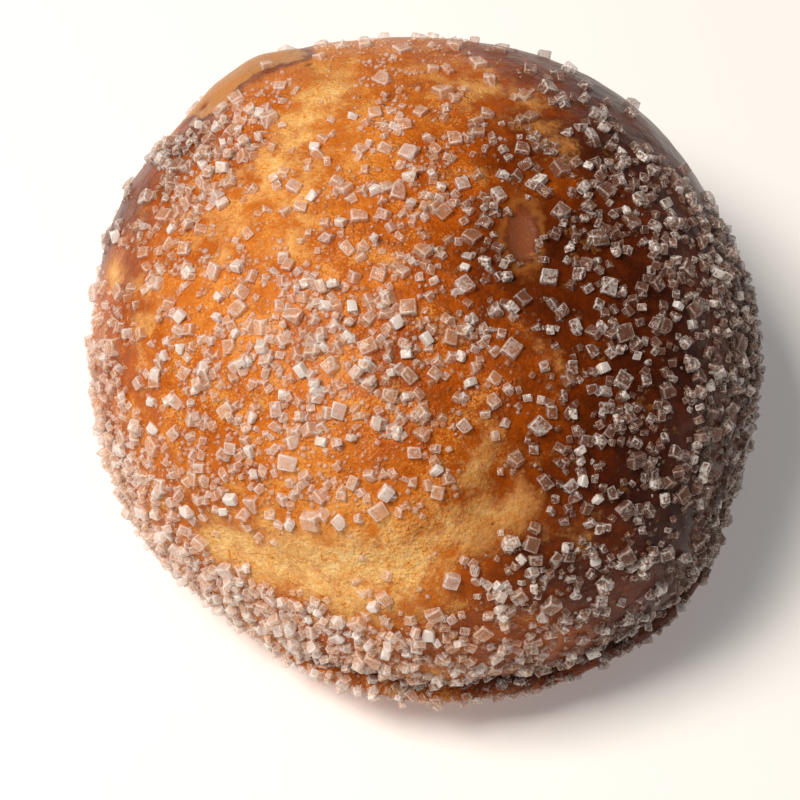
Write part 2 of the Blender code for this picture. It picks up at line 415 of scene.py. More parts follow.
class CrustSurface:
    """The bun's surface as a rule: where the crust lies in each direction from its centre."""

    def __init__(self, form):
        self.half_width = form.width / 2
        self.half_depth = form.depth / 2
        self.crown = form.height - form.widest_level
        self.reach_below = form.underside_reach
        self.fullness = form.fullness
        self.widest_level = form.widest_level
        self.centre = Vector((0.0, 0.0, form.widest_level))
        self.split_paths = self.paths_of(SPLITS)
        self.flap_middle = self.place(*FLAP_PLACE)
        self.hollow_middle = self.place(*HOLLOW_PLACE)
        self.bare_middles = [self.place(*place) for place, _ in BARE_PATCHES]
        self.pore_middles = [self.place(*pore[:2]) for pore in PORES]

    def paths_of(self, bands):
        """Each band's line of points on the plain form."""
        return [[self.place(*spot) for spot in spots] for _, _, spots in bands]

    def outline_radius(self, degrees):
        """How far the bun reaches from its axis at its widest level."""
        angle = math.radians(degrees)
        radius = 1.0 / math.hypot(math.cos(angle) / self.half_width, math.sin(angle) / self.half_depth)
        for where, reach, half_width in OUTLINE_SWELLS:
            radius += reach * bell(turn_between(degrees, where), half_width)
        return radius

    def plain(self, direction):
        """The point of the plain domed form in a direction from the centre."""
        degrees = math.degrees(math.atan2(direction.y, direction.x))
        flat_share = math.hypot(direction.x, direction.y) / self.outline_radius(degrees)
        high_share = abs(direction.z) / (self.crown if direction.z > 0.0 else self.reach_below)
        total = flat_share**self.fullness + high_share**self.fullness
        return self.centre + direction * total ** (-1.0 / self.fullness)

    def place(self, degrees, lean):
        """The plain form's point at a compass angle and a lean from straight up, in degrees."""
        turn = math.radians(degrees)
        slope = math.radians(lean)
        flat = math.sin(slope)
        return self.plain(Vector((flat * math.cos(turn), flat * math.sin(turn), math.cos(slope))))

    def crease_height(self, point):
        """How far the wavy foot crease cuts in, or the lip below it stands out."""
        degrees = math.degrees(math.atan2(point.y, point.x))
        wave = math.sin(math.radians(7.0 * degrees)) + 0.5 * math.sin(math.radians(17.0 * degrees))
        above = point.z - CREASE_LEVEL - CREASE_WAVE * wave
        strength = min(degrees - CREASE_FROM, CREASE_TO - degrees) / CREASE_FADE
        strength = min(1.0, max(0.0, strength))
        lip = LIP_HEIGHT * bell(above + LIP_DROP, CREASE_HALF_HEIGHT)
        return strength * (lip - CREASE_DEPTH * bell(above, CREASE_HALF_HEIGHT))

    def flap_reach(self, point):
        """Distance from the flap's middle, one at its edge."""
        return (point - self.flap_middle).length / FLAP_HALF_WIDTH

    def flap_height(self, point):
        """How far the smooth flap stands out, flat on top with a rounded edge."""
        return FLAP_HEIGHT * bell(self.flap_reach(point) ** 2, 1.0)

    def hollow_depth(self, point):
        """How deep the oval hollow is."""
        offset = point - self.hollow_middle
        share = math.hypot(offset.x / HOLLOW_HALF_WIDTH, offset.y / HOLLOW_HALF_LENGTH)
        return HOLLOW_DEPTH * bell(share, 1.0)

    def point(self, direction):
        """The point of the finished crust in a direction from the centre."""
        point = self.plain(direction)
        height = SWELL_HEIGHT * noise.noise(point / SWELL_SPACING + SWELL_SEED)
        for (half_width, depth, _), path in zip(SPLITS, self.split_paths):
            height -= depth * bell(distance_to_path(point, path), half_width)
        if point.z > self.widest_level:
            height += self.flap_height(point) - self.hollow_depth(point)
        return point + direction * (height + self.crease_height(point))

    def normal(self, direction):
        """The outward direction of the crust, from two short steps along it."""
        step = 0.01
        side = direction.orthogonal().normalized()
        other = direction.cross(side)
        here = self.point(direction)
        along = self.point((direction + side * step).normalized()) - here
        across = self.point((direction + other * step).normalized()) - here
        return along.cross(across).normalized()


def distance_to_path(point, path):
    """The shortest distance from a point to a line of straight runs."""
    shortest = math.inf
    for start, end in zip(path, path[1:]):
        run = end - start
        share = (point - start).dot(run) / run.length_squared
        nearest = start + run * min(1.0, max(0.0, share))
        shortest = min(shortest, (point - nearest).length)
    return shortest


def add_node(tree, kind, inputs=None, **settings):
    """Adds one node: settings are its own properties, inputs its sockets' values or links."""
    node = tree.nodes.new(kind)
    for name, value in settings.items():
        setattr(node, name, value)
    for key, value in (inputs or {}).items():
        if isinstance(value, bpy.types.NodeSocket):
            tree.links.new(value, node.inputs[key])
        else:
            node.inputs[key].default_value = value
    return node


def new_material(name):
    """An empty material with its node tree."""
    material = bpy.data.materials.new(name)
    material.use_nodes = True
    material.node_tree.nodes.clear()
    return material, material.node_tree


def place_in_mm(tree):
    """Where a point lies on the object in mm, so that patterns have a true size."""
    place = add_node(tree, "ShaderNodeTexCoord").outputs["Object"]
    scaled = add_node(tree, "ShaderNodeVectorMath", {0: place, "Scale": 1 / MM}, operation="SCALE")
    return scaled.outputs[0]


def painted(tree, name):
    """A number that the mesh carries under a name."""
    return add_node(tree, "ShaderNodeAttribute", attribute_name=name).outputs["Fac"]


def reckon(tree, operation, first, second=0.0, third=0.0):
    """One sum of up to three numbers."""
    inputs = {0: first, 1: second, 2: third}
    return add_node(tree, "ShaderNodeMath", inputs, operation=operation).outputs[0]


def colour_ramp(tree, share, steps):
    """A colour that changes along steps of (position, sRGB hex)."""
    ramp_node = add_node(tree, "ShaderNodeValToRGB", {0: share})
    while len(ramp_node.color_ramp.elements) < len(steps):
        ramp_node.color_ramp.elements.new(0.5)
    for element, (position, colour) in zip(ramp_node.color_ramp.elements, steps):
        element.position = position
        element.color = linear(colour)
    return ramp_node.outputs[0]


def browning(tree, colours, bake):
    """The colour of the egg-washed crust by how far it is baked, with painted shade added in."""
    steps = (
        (0.05, colours.golden), (0.35, colours.amber), (0.55, colours.russet),
        (0.78, colours.chestnut), (1.0, colours.char),
    )
    return colour_ramp(tree, bake, steps)


def inner_glow(tree, colours, bake):
    """The crust's colour as it looks through a crystal that lies on it, painted in as the glow of light
    passing through.
    """
    steps = ((0.1, colours.glow_golden), (0.52, colours.glow_russet), (0.8, colours.glow_char))
    return colour_ramp(tree, bake, steps)


def blend_colours(tree, share, first, second):
    """The first colour at no share, the second at a full one."""
    return add_node(tree, "ShaderNodeMix", {0: share, 6: first, 7: second}, data_type="RGBA").outputs[2]


def rise_of(tree, value, low, high, most=1.0):
    """Nothing up to low, most from high on, and smooth between."""
    inputs = {"Value": value, "From Min": low, "From Max": high, "To Max": most}
    return add_node(tree, "ShaderNodeMapRange", inputs, interpolation_type="SMOOTHSTEP").outputs[0]


def baked_crust(colours):
    """Egg-washed dough baked in an oven: amber to chestnut with a soft gloss, matt and porous where
    it stretched, and hazy where sugar melted on it. Painted shade darkens its right side, its crease
    and its pores, and a painted grey sheen lies on its shoulder and left rim."""
    material, tree = new_material("baked_egg_wash_crust")
    millimetres = place_in_mm(tree)

    def grain(size_mm, detail=3.0, rough=0.55):
        inputs = {"Vector": millimetres, "Scale": 1.0 / size_mm, "Detail": detail, "Roughness": rough}
        noise_node = add_node(tree, "ShaderNodeTexNoise", inputs)
        return reckon(tree, "SUBTRACT", noise_node.outputs[0], 0.5)

    def cells(size_mm):
        inputs = {"Vector": millimetres, "Scale": 1.0 / size_mm}
        return add_node(tree, "ShaderNodeTexVoronoi", inputs).outputs[0]

    # Sizes in mm: blotches of the oven's heat, down to the sandy grain of the egg wash
    blotches = grain(9.0, 1.0)
    patches = grain(4.1, 3.0)
    mottle = grain(1.9, 3.0)
    specks = grain(0.5, 2.0, 0.75)
    sand = grain(0.3, 1.0, 0.8)
    grit = grain(0.9, 1.0, 0.7)
    pores = cells(0.6)
    # The film's amount also carries the painted grey sheen of the shoulder and the left rim
    film = painted(tree, "film")

    bake = reckon(tree, "MULTIPLY_ADD", blotches, 0.45, painted(tree, "bake"))
    bake = reckon(tree, "MULTIPLY_ADD", mottle, 0.40, bake)
    bake = reckon(tree, "MULTIPLY_ADD", specks, 0.18, bake)
    skin = browning(tree, colours, bake)

    # Golden granular patches where the egg wash lies thin
    grainy = reckon(tree, "MULTIPLY_ADD", patches, 2.8, 0.62)
    grainy = reckon(tree, "MULTIPLY_ADD", sand, 2.4, grainy)
    grainy = reckon(tree, "MULTIPLY_ADD", bake, -0.95, grainy)
    grainy = rise_of(tree, grainy, 0.15, 0.9, 0.75)
    grainy = reckon(tree, "MULTIPLY", grainy, rise_of(tree, bake, 0.8, 0.5))
    skin = blend_colours(tree, grainy, skin, linear(colours.golden))

    # Film of melted sugar, peach on golden crust and grey brown on dark crust, where it also paints the
    # rims' grey sheen
    haze = reckon(tree, "MULTIPLY_ADD", mottle, 1.9, film)
    haze = reckon(tree, "MULTIPLY_ADD", grit, 1.1, haze)
    film_colour = blend_colours(
        tree, rise_of(tree, bake, 0.4, 0.7), linear(colours.film), linear(colours.dark_film_and_sheen)
    )
    skin = blend_colours(tree, rise_of(tree, haze, 0.42, 1.0, 0.75), skin, film_colour)

    # Dull glaze in the oval hollow, inside a paler ring
    hollow = reckon(tree, "MULTIPLY_ADD", mottle, 0.6, painted(tree, "hollow"))
    ring = rise_of(tree, hollow, 0.05, 0.25)
    ring = reckon(tree, "MULTIPLY", ring, rise_of(tree, hollow, 0.5, 0.3, 0.4))
    skin = blend_colours(tree, ring, skin, linear(colours.aged_crumb))
    skin = blend_colours(tree, rise_of(tree, hollow, 0.3, 0.7, 0.65), skin, linear(colours.hollow))

    # Pale crumb where the crust tore
    torn = reckon(tree, "MULTIPLY_ADD", mottle, 1.5, painted(tree, "crumb"))
    torn = reckon(tree, "MULTIPLY_ADD", patches, 1.5, torn)
    torn = reckon(tree, "MULTIPLY_ADD", specks, 0.8, torn)
    torn_share = rise_of(tree, torn, 0.2, 0.95)
    crumb_tone = reckon(tree, "MULTIPLY_ADD", mottle, 2.2, 0.42)
    crumb_tone = reckon(tree, "MULTIPLY_ADD", sand, 1.6, crumb_tone)
    steps = (
        (0.1, colours.pale_crumb), (0.4, colours.crumb), (0.75, colours.golden), (1.0, colours.amber),
    )
    crumb = colour_ramp(tree, crumb_tone, steps)
    crumb = blend_colours(tree, rise_of(tree, bake, 0.45, 0.8, 0.9), crumb, linear(colours.aged_crumb))
    skin = blend_colours(tree, torn_share, skin, crumb)

    # Smooth flap of dough with a thin line of painted shadow along its edge
    reach = reckon(tree, "MULTIPLY_ADD", mottle, 0.5, painted(tree, "flap"))
    reach = reckon(tree, "MULTIPLY_ADD", specks, 0.25, reach)
    flap_tone = reckon(tree, "MULTIPLY_ADD", patches, 1.4, 0.25)
    flap_colour = blend_colours(tree, flap_tone, linear(colours.flap), linear(colours.amber))
    edge_share = painted(tree, "flap_edge")
    flap_share = reckon(tree, "MULTIPLY_ADD", edge_share, 0.55, 0.35)
    flap_share = reckon(tree, "MULTIPLY", rise_of(tree, reach, 1.38, 1.28), flap_share)
    skin = blend_colours(tree, flap_share, skin, flap_colour)
    flap_shadow_line = reckon(
        tree, "MULTIPLY", rise_of(tree, reach, 1.25, 1.33), rise_of(tree, reach, 1.62, 1.38, 0.85)
    )
    flap_shadow_line = reckon(tree, "MULTIPLY", flap_shadow_line, edge_share)
    skin = blend_colours(tree, flap_shadow_line, skin, linear(colours.chestnut))

    # Half melted granules, tinted with the crystals' painted inner glow
    lumps = cells(0.72)
    where = reckon(tree, "MULTIPLY", painted(tree, "sugar"), 0.55)
    where = reckon(tree, "MULTIPLY_ADD", mottle, 2.6, where)
    where = reckon(tree, "MULTIPLY_ADD", bake, -0.35, where)
    granules = reckon(tree, "MULTIPLY", rise_of(tree, lumps, 0.5, 0.2), rise_of(tree, where, 0.1, 0.5))
    skin = blend_colours(
        tree, reckon(tree, "MULTIPLY", granules, 0.25), skin, inner_glow(tree, colours, bake)
    )

    # Open pores get painted shade inside
    skin = blend_colours(tree, painted(tree, "pore"), skin, linear(colours.chestnut))

    roughness = add_node(
        tree, "ShaderNodeMapRange", {"Value": torn_share, "To Min": 0.3, "To Max": 0.6}
    ).outputs[0]
    relief = reckon(tree, "MULTIPLY", pores, reckon(tree, "MULTIPLY", torn_share, 0.22))
    rough_share = reckon(tree, "SUBTRACT", 1.0, reckon(tree, "MULTIPLY", bake, 0.9))
    grainy_relief = reckon(tree, "ADD", specks, grit)
    relief = reckon(tree, "MULTIPLY_ADD", grainy_relief, rough_share, relief)
    relief = reckon(tree, "MULTIPLY_ADD", granules, 0.6, relief)
    relief = reckon(tree, "MULTIPLY_ADD", mottle, 0.3, relief)
    bump = add_node(
        tree, "ShaderNodeBump", {"Height": relief, "Distance": 0.4 * MM, "Strength": 0.9}
    ).outputs[0]
    shader = add_node(
        tree, "ShaderNodeBsdfPrincipled",
        {
            "Base Color": skin, "Roughness": roughness, "Normal": bump, "Specular IOR Level": 0.12,
            "Coat Weight": 0.03, "Coat Roughness": 0.1, "Coat IOR": 1.45,
        },
    )
    add_node(tree, "ShaderNodeOutputMaterial", {0: shader.outputs[0]})
    return material


def grown_sugar(colours, name, clearness, cloudiness):
    """Sugar grown as blocky crystals: the crust shows through them, softly lit inside by a painted glow
    that darkens with the crust's browning and painted shade, with slightly frosted faces and paler edges."""
    material, tree = new_material(name)
    inside = add_node(
        tree, "ShaderNodeTexNoise", {"Vector": place_in_mm(tree), "Scale": 1.0 / 0.4, "Detail": 1.0}
    ).outputs[0]
    bake = painted(tree, "bake")
    tone = reckon(tree, "POWER", painted(tree, "tone"), 2.5)
    cloud = reckon(tree, "MULTIPLY_ADD", inside, 3.4, cloudiness - 1.7)
    # Painted shine: each corner lightens or dulls the crystal's cloud a little, as light inside would
    cloud = reckon(tree, "ADD", reckon(tree, "SUBTRACT", painted(tree, "shine"), 0.5), cloud)
    cloud = reckon(tree, "ADD", tone, cloud)
    # Cloud and edges fade with the crust beneath, by its browning and by the painted shade on its right
    cloud = reckon(tree, "MULTIPLY_ADD", bake, -0.8, cloud)
    glow = inner_glow(tree, colours, bake)
    body = blend_colours(tree, rise_of(tree, cloud, 0.0, 1.0), glow, linear(colours.sugar))
    rim = reckon(tree, "MULTIPLY_ADD", tone, 0.4, reckon(tree, "MULTIPLY_ADD", bake, -0.75, 0.95))
    rim = reckon(tree, "MULTIPLY", rim, rise_of(tree, inside, 0.2, 0.5))
    rim = reckon(tree, "MULTIPLY", rim, painted(tree, "rim"))
    colour = blend_colours(tree, rim, body, linear(colours.sugar_edge))
    bump = add_node(
        tree, "ShaderNodeBump", {"Height": inside, "Distance": 0.1 * MM, "Strength": 0.6}
    ).outputs[0]
    shader = add_node(
        tree, "ShaderNodeBsdfPrincipled",
        {
            "Base Color": colour, "Roughness": 0.14, "IOR": 1.54, "Specular IOR Level": 0.36,
            "Normal": bump, "Alpha": 1.0 - clearness,
        },
    )
    add_node(tree, "ShaderNodeOutputMaterial", {0: shader.outputs[0]})
    return material


def sugar_finishes(colours, name, clearness, cloudiness):
    """The clear material of the broad faces and the denser one of the edges."""
    faces = grown_sugar(colours, name + "_faces", clearness, cloudiness)
    edges = grown_sugar(colours, name + "_edges", EDGE_CLEARNESS_SHARE * clearness, cloudiness)
    return faces, edges


def pale_floor(studio):
    """Matt painted board, near white."""
    material, tree = new_material("pale_studio_board")
    shader = add_node(
        tree, "ShaderNodeBsdfPrincipled",
        {
            "Base Color": linear(studio.board_colour), "Roughness": 0.85,
            "Emission Color": linear(studio.board_colour), "Emission Strength": studio.board_glow,
        },
    )
    add_node(tree, "ShaderNodeOutputMaterial", {0: shader.outputs[0]})
    return material


def paint(mesh, name, values):
    """Stores one number for each point under a name."""
    mesh.attributes.new(name, "FLOAT", "POINT").data.foreach_set("value", values)


class Baking:
    """How browned with painted shade, torn, filmed with painted sheen, and sugared the crust is at each
    place.
    """

    def __init__(self, surface):
        self.surface = surface
        self.pale_paths = surface.paths_of(PALE_BANDS)
        self.middles = {
            patches: [surface.place(*patch[:2]) for patch in patches]
            for patches in (BAKE_AND_SHADE_PATCHES, FILM_AND_SHEEN_PATCHES, SUGAR_PATCHES)
        }

    def patch_sum(self, point, patches):
        """The summed strength of soft round patches at a point."""
        return sum(
            change * bell((point - middle).length, half_width)
            for (_, _, half_width, change), middle in zip(patches, self.middles[patches])
        )

    def bake(self, point):
        """How far the crust is browned, from golden at zero to char at one, with painted shade added
        towards its right side and in its crease.
        """
        across = ramp(point.x, BAKE_AND_SHADE_FROM, BAKE_AND_SHADE_TO)
        cut_in = min(0.0, self.surface.crease_height(point)) / CREASE_DEPTH
        foot = 1.0 - ramp(point.z, *FOOT_LEVELS)
        patches = self.patch_sum(point, BAKE_AND_SHADE_PATCHES)
        bake = PLAIN_BAKE + BAKE_AND_SHADE_ACROSS * across + patches
        return bake - CREASE_SHADE * cut_in - FOOT_BAKE * foot * across

    def crumb(self, point):
        """How near the middle of a pale band a point is."""
        bands = zip(PALE_BANDS, self.pale_paths)
        return max(
            paleness * bell(distance_to_path(point, path), half_width * BAND_SPREAD)
            for (half_width, paleness, _), path in bands
        )

    def pore(self, point):
        """How deep inside an open pore a point is."""
        pores = zip(PORES, self.surface.pore_middles)
        return max(bell((point - middle).length, radius) for (_, _, radius), middle in pores)

    def bare(self, point):
        """How smooth and free of sugar the glazed shoulder is."""
        bare = zip(self.surface.bare_middles, BARE_PATCHES)
        return sum(bell((point - middle).length, half_width) for middle, (_, half_width) in bare)

    def amounts(self, point):
        """Everything that is painted on the crust at a point."""
        bake = self.bake(point)
        crumb = self.crumb(point)
        hollow = self.surface.hollow_depth(point) / HOLLOW_DEPTH
        reach = self.surface.flap_reach(point) + FLAP_UNEVENNESS * noise.noise(point / FLAP_SPACING)
        drop = (self.surface.flap_middle.z - point.z) / FLAP_HALF_WIDTH
        reach = min(FLAP_FARTHEST, reach + FLAP_DROP_LOSS * ramp(drop, *FLAP_DROP))
        on_flap = 1.0 - ramp(reach, *SUGAR_PAST_FLAP)
        clear = OFF_FLAP * on_flap + OFF_HOLLOW * hollow + OFF_BARE * self.bare(point)
        above_foot = ramp(point.z, *SUGARED_LEVELS)
        sugar = SUGAR_AMOUNT + self.patch_sum(point, SUGAR_PATCHES)
        sugar += SUGAR_UNEVENNESS * noise.noise(point / SUGAR_SPACING)
        sugar = above_foot * min(1.0, max(0.0, sugar - SUGAR_OFF_CRUMB * crumb - clear))
        drifts = GRANULE_UNEVENNESS * noise.noise(point / GRANULE_SPACING + SWELL_SEED)
        granules = 1.0 + drifts - GRANULES_OFF_BROWN * bake - crumb + GRANULES_IN_SUGAR * sugar - clear
        return {
            "bake": bake,
            "film": self.patch_sum(point, FILM_AND_SHEEN_PATCHES),
            "hollow": hollow,
            "crumb": crumb,
            "flap": reach,
            "flap_edge": 1.0 - ramp(drop, *FLAP_EDGE_FADE),
            "pore": self.pore(point),
            "sugar": sugar,
            "granules": above_foot * min(1.0, max(0.0, granules)),
        }


class BRIOCHE_OT_crust(bpy.types.Operator):
    """Grows the browned crust over the solid bun"""

    bl_idname = "brioche.crust"
    bl_label = "Bake Crust"

    def execute(self, context):
        surface = CrustSurface(context.scene.brioche_form)
        form = bmesh.new()
        bmesh.ops.create_cube(form, size=2.0)
        cuts = context.scene.brioche_form.face_cuts - 1
        bmesh.ops.subdivide_edges(form, edges=form.edges, cuts=cuts, use_grid_fill=True)
        low = [vertex for vertex in form.verts if vertex.co.z < GRID_LOWEST]
        bmesh.ops.delete(form, geom=low, context="VERTS")
        for vertex in form.verts:
            even = Vector(math.tan(share * math.pi / 4) for share in vertex.co)
            vertex.co = self.fine_point(surface, even.normalized())
        parts = form.verts[:] + form.edges[:] + form.faces[:]
        floor = (0.0, 0.0, 0.0)
        bmesh.ops.bisect_plane(form, geom=parts, plane_co=floor, plane_no=(0, 0, 1), clear_inner=True)
        rim = [edge for edge in form.edges if edge.is_boundary]
        bmesh.ops.contextual_create(form, geom=rim)
        bmesh.ops.recalc_face_normals(form, faces=form.faces)
        for face in form.faces:
            face.smooth = True
        mesh = bpy.data.meshes.new("crust")
        form.to_mesh(mesh)
        form.free()
        baking = Baking(surface)
        painted_on = [baking.amounts(vertex.co) for vertex in mesh.vertices]
        for name in painted_on[0]:
            paint(mesh, name, [amounts[name] for amounts in painted_on])
        mesh.materials.append(baked_crust(context.scene.brioche_colours))
        crust = bpy.data.objects.new("crust", mesh)
        context.scene.collection.objects.link(crust)
        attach(crust, "root")
        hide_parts(NODE)
        return {"FINISHED"}

    def fine_point(self, surface, direction):
        """The crust's point with the fine unevenness that the solid leaves out."""
        point = surface.point(direction)
        height = sum(most * noise.noise(point / spacing) for most, spacing in FINE_SWELLS)
        for (_, _, radius), middle in zip(PORES, surface.pore_middles):
            height -= PORE_DEPTH * bell((point - middle).length, radius)
        return point + direction * height


def block_crystal(draw, sides, corners_off, bevel, inset, breaks):
    """A blocky crystal about its middle with worn edges and some corners broken off. Its points are
    marked as rim and its faces as edge, apart from its clear broad faces, and each point has its
    own painted shine."""
    form = bmesh.new()
    mark = form.verts.layers.float.new("rim")
    shine = form.verts.layers.float.new("shine")
    edge = form.faces.layers.float.new("edge")
    bmesh.ops.create_cube(form, size=1.0)
    for corner, off in zip(form.verts, corners_off):
        corner.co = corner.co * sides * off
    if bevel:
        bmesh.ops.bevel(
            form, geom=form.edges[:], offset=bevel, segments=1, affect="EDGES", clamp_overlap=True
        )
    for way, kept in breaks:
        reach = max(vertex.co.dot(way) for vertex in form.verts)
        parts = form.verts[:] + form.edges[:] + form.faces[:]
        cut = way * (reach * kept)
        bmesh.ops.bisect_plane(form, geom=parts, plane_co=cut, plane_no=way, clear_outer=True)
        bmesh.ops.contextual_create(form, geom=[side for side in form.edges if side.is_boundary])
    if inset:
        for vertex in form.verts:
            vertex[mark] = 1.0
        largest = max(face.calc_area() for face in form.faces)
        broad = [face for face in form.faces if face.calc_area() > BROAD_FACE_SHARE * largest]
        bmesh.ops.inset_individual(form, faces=broad, thickness=inset, depth=CRYSTAL_PILLOW * inset)
        for face in form.faces:
            face[edge] = 1.0
        for face in broad:
            face[edge] = 0.0
            for vertex in face.verts:
                vertex[mark] = 0.0
    for vertex in form.verts:
        vertex[shine] = draw.random()
    for face in form.faces:
        face.smooth = True
    return form


def random_breaks(draw, most):
    """Up to so many corners to break off: the direction of each, and the share of its reach kept."""
    breaks = []
    for _ in range(draw.randint(0, most)):
        way = Vector(draw.choice((-1.0, 1.0)) * draw.uniform(*BREAK_SLANT) for _ in range(3))
        breaks.append((way.normalized(), draw.uniform(*BREAK_KEPT)))
    return breaks


class BRIOCHE_OT_large_sugar(bpy.types.Operator):
    """Presses the largest sugar crystals into the crust, where the solid has them"""

    bl_idname = "brioche.large_sugar"
    bl_label = "Lay Large Crystals"

    def takes_crystal(self, surface, spot):
        """Whether sugar stuck at a place, by the same rule as the solid's."""
        if spot.z < CRYSTAL_LOWEST:
            return False
        bare = zip(surface.bare_middles, BARE_PATCHES)
        if any((spot - middle).length < half_width for middle, (_, half_width) in bare):
            return False
        if surface.hollow_depth(spot) > HOLLOW_DEPTH * SUGAR_LIMIT:
            return False
        if surface.flap_height(spot) > FLAP_HEIGHT * SUGAR_LIMIT:
            return False
        widths = [split[0] for split in SPLITS]
        paths = zip(widths, surface.split_paths)
        return all(distance_to_path(spot, path) > width for width, path in paths)

    def directions(self, surface, draw):
        """Evenly spread directions, each moved a little, in the solid's own order of draws."""
        taken = []
        for index in range(CRYSTAL_TRIES):
            height = 1.0 - (index + 0.5) / CRYSTAL_TRIES
            flat = math.sqrt(1.0 - height * height)
            turn = index * GOLDEN_ANGLE
            even = Vector((flat * math.cos(turn), flat * math.sin(turn), height))
            shift = Vector(draw.uniform(-1.0, 1.0) for _ in range(3))
            shift *= CRYSTAL_JITTER / surface.half_width
            direction = (even + shift).normalized()
            if self.takes_crystal(surface, surface.plain(direction)):
                taken.append(direction)
        return taken

    def grow(self, surface, direction, draw, tones):
        """One crystal, its middle and its turn, in the solid's own order of draws."""
        length = draw.uniform(*CRYSTAL_LENGTH)
        breadth = length * draw.uniform(*CRYSTAL_BREADTH)
        thickness = length * draw.uniform(*CRYSTAL_THICKNESS)
        normal = surface.normal(direction)
        spin = Matrix.Rotation(draw.uniform(0.0, math.pi), 3, "Z")
        tilt_x = Matrix.Rotation(draw.uniform(-CRYSTAL_TILT, CRYSTAL_TILT), 3, "X")
        tilt_y = Matrix.Rotation(draw.uniform(-CRYSTAL_TILT, CRYSTAL_TILT), 3, "Y")
        stand = normal.to_track_quat("Z", "Y").to_matrix()
        middle = surface.point(direction) + normal * (thickness * (0.5 - CRYSTAL_SUNK))
        off = [Vector(draw.uniform(*CRYSTAL_CORNERS) for _ in range(3)) for _ in range(8)]
        sides = Vector((length, breadth, thickness))
        breaks = random_breaks(tones, CORNER_BREAKS)
        grain = block_crystal(tones, sides, off, CRYSTAL_BEVEL * length, CRYSTAL_RIM * length, breaks)
        return grain, middle, stand @ tilt_x @ tilt_y @ spin

    def lay(self, all_sugar, grain, middle, turn, face_marks):
        """Copies a crystal with its marks to its place among the others."""
        placed = {v: all_sugar.verts.new(middle + turn @ v.co) for v in grain.verts}
        for name in ("rim", "shine"):
            mark = all_sugar.verts.layers.float[name]
            own_mark = grain.verts.layers.float[name]
            for corner, copy in placed.items():
                copy[mark] = corner[own_mark]
        edge = grain.faces.layers.float["edge"]
        for face in grain.faces:
            copy = all_sugar.faces.new([placed[v] for v in face.verts])
            copy.smooth = True
            copy.material_index = round(face[edge])
            for name, value in face_marks.items():
                copy[all_sugar.faces.layers.float[name]] = value

    def execute(self, context):
        surface = CrustSurface(context.scene.brioche_form)
        baking = Baking(surface)
        draw = random.Random(CRYSTAL_SEED)
        tones = random.Random(CRYSTAL_SEED + 1)
        all_sugar = bmesh.new()
        for name in ("tone", "bake"):
            all_sugar.faces.layers.float.new(name)
        for name in ("rim", "shine"):
            all_sugar.verts.layers.float.new(name)
        for direction in self.directions(surface, draw):
            grain, middle, turn = self.grow(surface, direction, draw, tones)
            face_marks = {"tone": tones.random(), "bake": baking.bake(middle)}
            self.lay(all_sugar, grain, middle, turn, face_marks)
            grain.free()
        mesh = bpy.data.meshes.new("sugar_large")
        all_sugar.to_mesh(mesh)
        all_sugar.free()
        colours = context.scene.brioche_colours
        for finish in sugar_finishes(colours, mesh.name, LARGE_CLEARNESS, LARGE_CLOUD):
            mesh.materials.append(finish)
        sugar = bpy.data.objects.new("sugar_large", mesh)
        context.scene.collection.objects.link(sugar)
        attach(sugar, "root")
        return {"FINISHED"}


# Scattered sugar, a row for each piece: it starts at the least painted amount, and is dense at the most
SugarKind = namedtuple(
    "SugarKind", "name amount spacing smallest largest least most lift tilt seed clearness cloud shape"
)
SUGAR_KINDS = (
    SugarKind(
        "sugar_coarse", "sugar", spacing=1.5 * MM, smallest=1.15 * MM, largest=1.95 * MM,
        least=0.06, most=0.9, lift=0.0, tilt=45.0, seed=3, clearness=0.65, cloud=0.4, shape="cut",
    ),
    SugarKind(
        "sugar_medium", "sugar", spacing=1.1 * MM, smallest=0.75 * MM, largest=1.3 * MM,
        least=0.08, most=1.1, lift=0.0, tilt=45.0, seed=5, clearness=0.66, cloud=0.4, shape="whole",
    ),
    SugarKind(
        "sugar_heaped", "sugar", spacing=1.3 * MM, smallest=1.0 * MM, largest=1.8 * MM,
        least=0.7, most=1.5, lift=0.7 * MM, tilt=75.0, seed=8, clearness=0.56, cloud=0.7, shape="cut",
    ),
    SugarKind(
        "sugar_frosted", "sugar", spacing=2.7 * MM, smallest=1.2 * MM, largest=1.9 * MM,
        least=0.1, most=1.2, lift=0.15 * MM, tilt=35.0, seed=13, clearness=0.32, cloud=1.1, shape="cut",
    ),
    SugarKind(
        "sugar_grit", "granules", spacing=0.62 * MM, smallest=0.35 * MM, largest=0.8 * MM,
        least=0.02, most=1.0, lift=0.0, tilt=25.0, seed=21, clearness=0.64, cloud=0.4, shape="plain",
    ),
)

# Room kept round large crystals, in smallest lengths, and most grains in a square of the spacing
CLEARANCE_SHARE = 0.35
PACKING = 0.9

# Shapes of a grain one unit long: least and most bevel, width of the rim, most broken corners
GRAIN_SHAPES = {
    "cut": ((0.03, 0.06), 0.07, 3),
    "whole": ((0.0, 0.0), 0.085, 1),
    "plain": ((0.0, 0.0), 0.0, 1),
}
GRAIN_BREADTH = (0.65, 1.0)
GRAIN_THICKNESS = (0.55, 0.9)
SHAPE_COUNT = 14
SHAPE_SEED = 29


